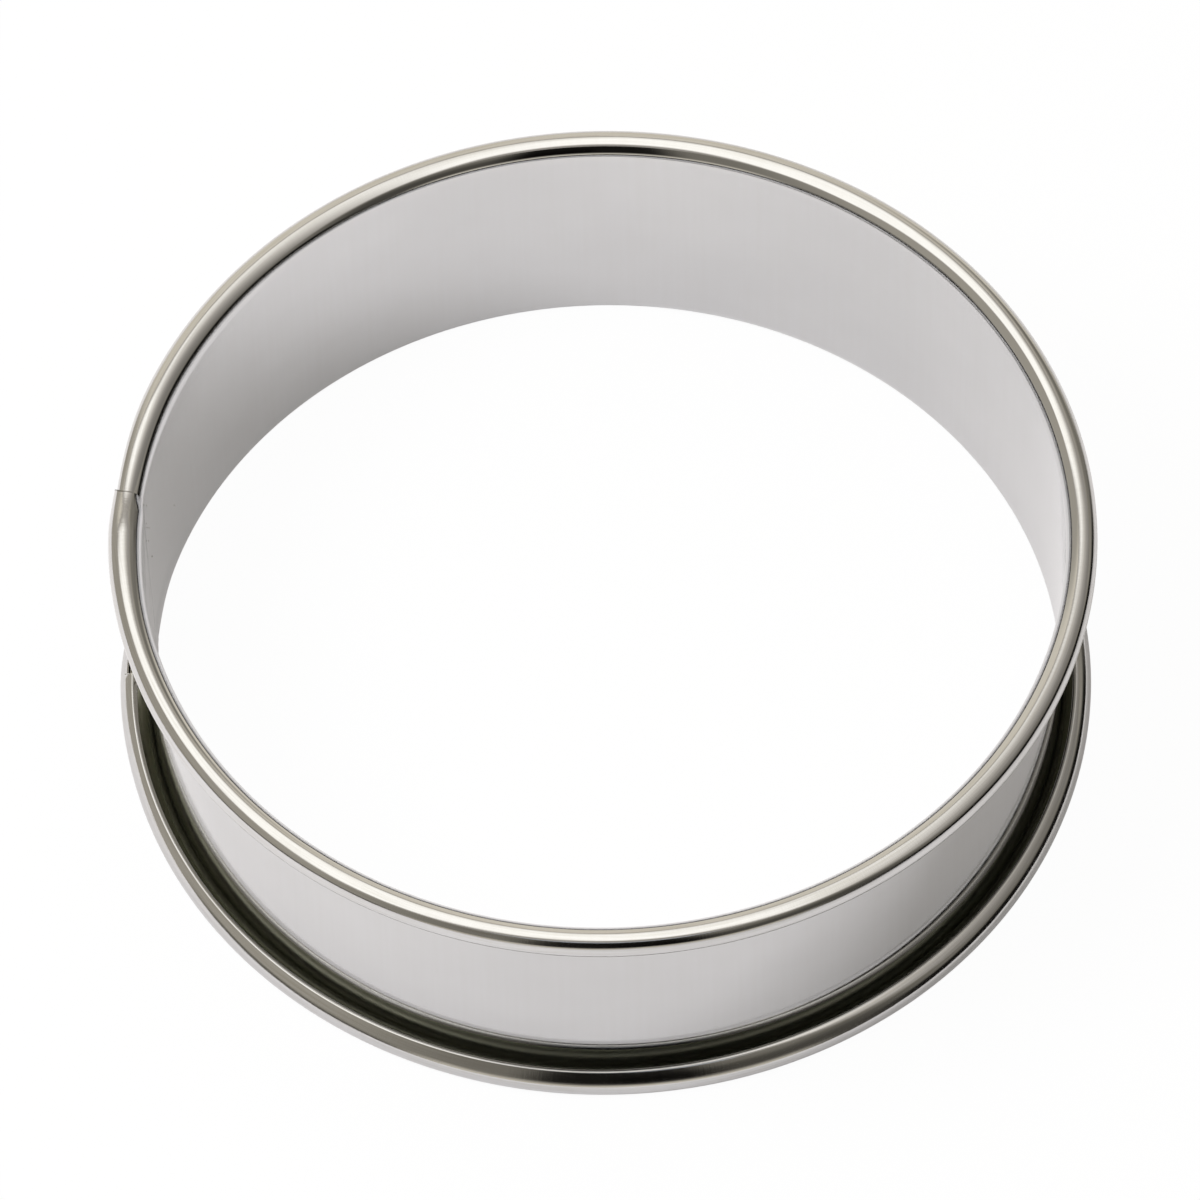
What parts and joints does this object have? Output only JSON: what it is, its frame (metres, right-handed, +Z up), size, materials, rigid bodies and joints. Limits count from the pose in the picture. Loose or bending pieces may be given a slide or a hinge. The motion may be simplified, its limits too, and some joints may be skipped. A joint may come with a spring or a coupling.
{
  "type": "cake ring",
  "caption": "Bottomless round cake ring of bright sheet steel with a straight wall, outward-rolled open hollow beads on both edges and a spot-welded lap seam.",
  "frame": {"origin": "on the ring's axis, in the plane that the lower rolled edge stands on", "axes": "+Z up along the ring's axis; the lap seam is on the -X side, and the picture looks along +Y"},
  "size_m": [0.171, 0.1707, 0.05],
  "materials": {
    "bright_sheet": "bright satin sheet, polished on the rolled edges",
    "weld_metal": "dull fused metal"
  },
  "bodies": {
    "root": {"ring_band": "bright_sheet", "seam_weld_lower": "weld_metal", "seam_weld_middle": "weld_metal", "seam_weld_upper": "weld_metal"}
  },
  "joints": []
}
